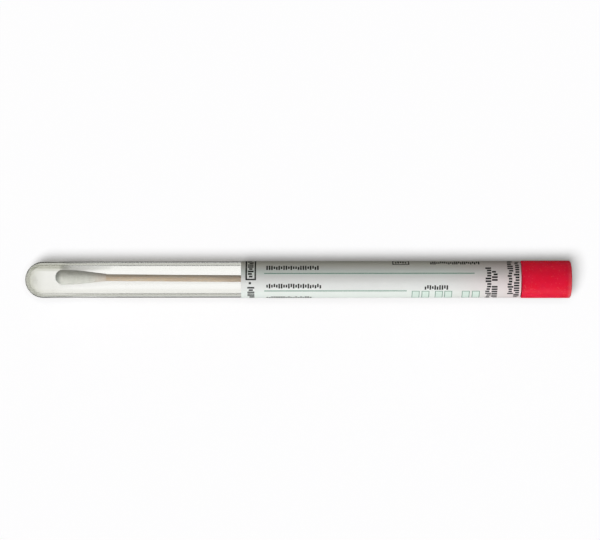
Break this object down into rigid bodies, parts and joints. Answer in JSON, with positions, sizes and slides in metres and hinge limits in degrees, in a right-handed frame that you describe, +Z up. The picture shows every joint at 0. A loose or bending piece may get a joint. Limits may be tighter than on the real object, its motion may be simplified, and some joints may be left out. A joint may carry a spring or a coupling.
{
  "type": "specimen swab tube",
  "caption": "Clear round-bottomed tube with a wrapped paper label and a soft stopper that carries a wooden swab stick and its cotton bud into the tube.",
  "frame": {"origin": "middle of the bounding box's underside, on the surface that the tube lies on", "axes": "+X along the tube from the closed end to the stopper, +Z up"},
  "size_m": [0.1816, 0.0124, 0.0125],
  "materials": {
    "clear_plastic": "polished",
    "label_paper": "matte",
    "red_plastic": "satin",
    "stick_wood": "matte",
    "cotton": "matte"
  },
  "bodies": {
    "tube_body": {"tube": "clear_plastic", "label": "label_paper"},
    "swab_body": {"stopper": "red_plastic", "swab_stick": "stick_wood", "cotton_bud": "cotton"}
  },
  "joints": [
    {"name": "swab_pull", "type": "slide", "parent": "tube_body", "child": "swab_body", "axis": [1, 0, 0], "range_m": [0, 0.165]}
  ]
}
